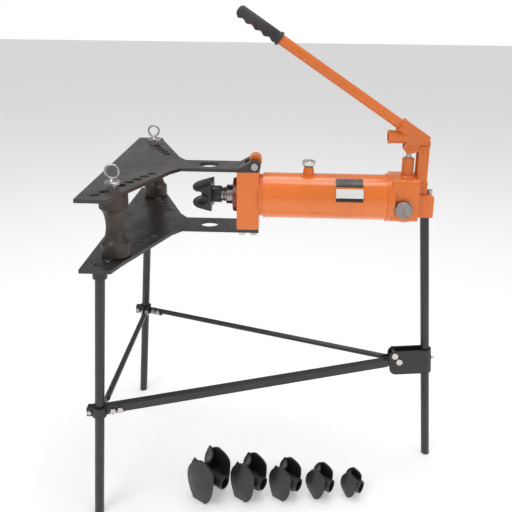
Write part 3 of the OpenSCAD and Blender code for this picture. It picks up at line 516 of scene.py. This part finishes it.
class BENDER_OT_loose_formers(bpy.types.Operator):
    """Five cast saddles: two bulged cheeks, a grooved web between them and a hub behind"""
    bl_idname = "bender.loose_formers"
    bl_label = "Loose formers"

    def cheek(self, bm, length, front, back, side, half_width, pointed):
        """A leaf-shaped cheek that bulges outwards, on one side of the groove."""
        half = length / 2
        rings = 6
        bulge = 0.008
        wall = 0.005
        foot = (0.06 * length, 0.12 * length) if pointed else (-0.14 * length, 0.18 * length)
        tip = (0.08 * length, half)
        outline = curve((foot[0], -half), (front, -0.45 * half), (front, 0.0), 10)
        outline += curve((front, 0.0), (front, 0.72 * half), tip, 12)
        outline += curve(tip, (back, 0.86 * half), (back, 0.5 * half), 10)
        outline += curve((back, 0.5 * half), (back, -0.7 * half), (foot[1], -half), 12)
        outline.append((foot[1], -half))
        middle = Vector((0.05 * length, 0.0))
        rims = []
        for inset in (0.0, wall):
            last = None
            for ring in range(rings + 1):
                share = 1 - ring / (rings + 1)
                height = half_width - bulge - inset + bulge * math.sin(math.pi / 2 * (1 - share))
                verts = []
                for point in outline:
                    flat = middle + (Vector(point) - middle) * share
                    verts += bmesh.ops.create_vert(bm, co=(flat.x, flat.y, side * height))["vert"]
                loop = [bm.edges.new(pair) for pair in zip(verts, verts[1:] + verts[:1])]
                if last:
                    bmesh.ops.bridge_loops(bm, edges=last + loop)
                else:
                    rims.append(loop)
                last = loop
            bmesh.ops.contextual_create(bm, geom=last)
        bmesh.ops.bridge_loops(bm, edges=rims[0] + rims[1])

    def web(self, bm, length, groove):
        """The trough that the tube lies in, curved about the saddle's bend."""
        bend = 0.62 * length
        steps = 20
        row = []
        for k in range(steps + 1):
            t = math.pi * (k / steps - 0.5)
            place = (-groove + groove * math.cos(t), 0.0, groove * math.sin(t))
            row += bmesh.ops.create_vert(bm, co=place)["vert"]
        edges = [bm.edges.new(pair) for pair in zip(row, row[1:])]
        reach = math.asin(0.33 * length / bend)
        centre = (bend, 0, 0)
        bmesh.ops.rotate(bm, verts=row, cent=centre, matrix=Matrix.Rotation(-reach, 3, "Z"))
        bmesh.ops.spin(bm, geom=row + edges, axis=(0, 0, 1), cent=centre, angle=2 * reach,
                       steps=28, use_merge=False, use_duplicate=False)
        skin = {f for v in row for f in v.link_faces}
        todo = list(skin)
        while todo:
            for edge in todo.pop().edges:
                fresh = set(edge.link_faces) - skin
                skin |= fresh
                todo.extend(fresh)
        bmesh.ops.recalc_face_normals(bm, faces=list(skin))
        bmesh.ops.solidify(bm, geom=list(skin), thickness=0.004)

    def hub(self, bm, start, end):
        """The round hub, open at its end for the ram's spigot."""
        outer = SPIGOT_R + 0.0034
        row = []
        for x, radius in ((start, SPIGOT_R), (end, SPIGOT_R), (end, outer), (start, outer)):
            row += bmesh.ops.create_vert(bm, co=(x, 0.0, radius))["vert"]
        edges = [bm.edges.new(pair) for pair in zip(row, row[1:] + row[:1])]
        bmesh.ops.spin(bm, geom=row + edges, axis=(1, 0, 0), cent=(0, 0, 0), angle=2 * math.pi,
                       steps=48, use_merge=True, use_duplicate=False)

    def ribs(self, bm, length, half_width):
        """Two ribs from the hub to the cheeks."""
        inner = SPIGOT_R + 0.002
        span = half_width - 0.010 - inner
        for side in (-1, 1):
            place = Matrix.Translation((0.12 * length, 0, side * (inner + span / 2)))
            size = Matrix.Diagonal((0.20 * length, 0.005, span, 1))
            bmesh.ops.create_cube(bm, size=1.0, matrix=place @ size)

    def execute(self, context):
        for i, groove in enumerate(GROOVES):
            length = FORMER_SIZE * FORMER_SHARE * (1 - SIZE_DROP * i)
            half_width = groove + 0.011
            bm = bmesh.new()
            for side in (-1, 1):
                self.cheek(bm, length, -groove - 0.004, 0.4 * length, side, half_width, i > 2)
            self.web(bm, length, groove)
            self.hub(bm, 0.003, HUB_END * length)
            self.ribs(bm, length, half_width)
            place = Vector((-0.160 + FORMER_STEP * i - 0.003 * i * i, -0.178 + 0.004 * i, length / 2))
            stand = Matrix.Rotation(math.radians(-35), 4, "Z") @ Matrix.Rotation(math.pi / 2, 4, "X")
            bmesh.ops.transform(bm, verts=bm.verts[:], matrix=Matrix.Translation(place) @ stand)
            bmesh.ops.recalc_face_normals(bm, faces=bm.faces[:])
            finished(bm, f"saddle_{i + 1}", LOOKS["former"], f"loose_{i + 1}",
                     (f"loose_former_{i + 1}",), 0.0008, 40)
        return {"FINISHED"}


class BENDER_OT_hidden(bpy.types.Operator):
    """Finishes on the small inner nodes, whose CAD shapes stay as they are"""
    bl_idname = "bender.hidden"
    bl_label = "Inner parts"

    def execute(self, context):
        inner = {
            "rod_seal": "seal", "piston_seal": "seal", "plunger_seal": "seal",
            "return_spring": "dark_steel", "check_springs": "dark_steel", "check_balls": "cap",
        }
        for node, look in inner.items():
            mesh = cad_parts[node].data
            mesh.materials.clear()
            mesh.materials.append(LOOKS[look])
        return {"FINISHED"}


class BENDER_OT_stage(bpy.types.Operator):
    """A pale floor, soft lights and the camera"""
    bl_idname = "bender.stage"
    bl_label = "Stage"

    def execute(self, context):
        sizes = context.scene.bender_stage
        bm = bmesh.new()
        bmesh.ops.create_grid(bm, x_segments=1, y_segments=1, size=sizes.floor / 2)
        mesh = bpy.data.meshes.new("floor")
        bm.to_mesh(mesh)
        bm.free()
        floor = bpy.data.objects.new("floor", mesh)
        context.scene.collection.objects.link(floor)
        pale = Finish("Pale floor", (0.95, 0.95, 0.95), 0.9, specular=0.1)
        pale.put("Emission Color", (1, 1, 1, 1))
        pale.put("Emission Strength", 0.28)
        mesh.materials.append(pale.material)

        world = bpy.data.worlds.new("Soft white")
        world.use_nodes = True
        links = world.node_tree.links
        # White where the camera sees it, and dimmer where it lights the paint
        seen = world.node_tree.nodes["Background"]
        seen.inputs["Color"].default_value = (1, 1, 1, 1)
        soft = world.node_tree.nodes.new("ShaderNodeBackground")
        soft.inputs["Color"].default_value = (1, 1, 1, 1)
        soft.inputs["Strength"].default_value = 0.42 * sizes.light
        path = world.node_tree.nodes.new("ShaderNodeLightPath")
        either = world.node_tree.nodes.new("ShaderNodeMixShader")
        links.new(path.outputs["Is Camera Ray"], either.inputs[0])
        links.new(soft.outputs[0], either.inputs[1])
        links.new(seen.outputs[0], either.inputs[2])
        links.new(either.outputs[0], world.node_tree.nodes["World Output"].inputs["Surface"])
        context.scene.world = world
        context.scene.view_settings.view_transform = "Standard"

        aim = Vector((0.0, 0.0, 0.6))
        lamps = (
            ("key", (-1.6, -2.2, 2.9), 1.8, 34),
            ("fill", (2.4, -2.0, 1.7), 2.4, 12),
            ("top", (0.2, 0.3, 3.2), 1.8, 34),
        )
        for name, place, size, power in lamps:
            light = bpy.data.lights.new(name, "AREA")
            light.shape = "SQUARE"
            light.size = size
            light.energy = power * sizes.light
            lamp = bpy.data.objects.new(name, light)
            lamp.location = place
            lamp.rotation_euler = (aim - Vector(place)).to_track_quat("-Z", "Y").to_euler()
            context.scene.collection.objects.link(lamp)

        data = bpy.data.cameras.new("camera")
        data.sensor_width = 36.0
        data.lens = 44.8
        data.shift_y = -0.1191
        data.clip_start, data.clip_end = 0.05, 60.0
        camera = bpy.data.objects.new("camera", data)
        camera.location = (-0.0037, -1.4608, 1.142)
        yaw, pitch, roll = (math.radians(a) for a in (-2.024, 16.508, 0.655))
        ahead = Vector((math.sin(yaw) * math.cos(pitch), math.cos(yaw) * math.cos(pitch), -math.sin(pitch)))
        right = Vector((math.cos(yaw), -math.sin(yaw), 0.0))
        up = right.cross(ahead)
        right, up = (right * math.cos(roll) + up * math.sin(roll),
                     up * math.cos(roll) - right * math.sin(roll))
        camera.rotation_euler = Matrix((right, up, -ahead)).transposed().to_euler()
        context.scene.collection.objects.link(camera)
        context.scene.camera = camera
        return {"FINISHED"}


class BENDER_PT_panel(bpy.types.Panel):
    bl_idname = "BENDER_PT_panel"
    bl_label = "Tripod tube bender"
    bl_space_type = "VIEW_3D"
    bl_region_type = "UI"
    bl_category = "Bender"

    def draw(self, context):
        column = self.layout.column(align=True)
        for step in STEPS:
            column.operator(step.bl_idname)
        for group in (context.scene.bender_grip, context.scene.bender_stage):
            for key in group.bl_rna.properties.keys():
                if key not in ("rna_type", "name"):
                    self.layout.prop(group, key)


STEPS = (
    BENDER_OT_wings, BENDER_OT_head, BENDER_OT_ram, BENDER_OT_reservoir, BENDER_OT_label,
    BENDER_OT_pump, BENDER_OT_lever, BENDER_OT_grip, BENDER_OT_stand, BENDER_OT_rollers,
    BENDER_OT_loose_formers, BENDER_OT_hidden, BENDER_OT_stage,
)
CLASSES = (GripSizes, StageSizes, *STEPS, BENDER_PT_panel)


def register():
    for item in CLASSES:
        bpy.utils.register_class(item)
    bpy.types.Scene.bender_grip = bpy.props.PointerProperty(type=GripSizes)
    bpy.types.Scene.bender_stage = bpy.props.PointerProperty(type=StageSizes)


def unregister():
    del bpy.types.Scene.bender_stage
    del bpy.types.Scene.bender_grip
    for item in reversed(CLASSES):
        bpy.utils.unregister_class(item)


def main():
    register()
    make_looks()
    bpy.ops.bender.stage()
    bpy.ops.bender.wings()
    bpy.ops.bender.head()
    bpy.ops.bender.ram()
    bpy.ops.bender.reservoir()
    bpy.ops.bender.label()
    bpy.ops.bender.pump()
    bpy.ops.bender.lever()
    bpy.ops.bender.grip()
    bpy.ops.bender.stand()
    bpy.ops.bender.rollers()
    bpy.ops.bender.loose_formers()
    bpy.ops.bender.hidden()


if __name__ == "__main__":
    main()
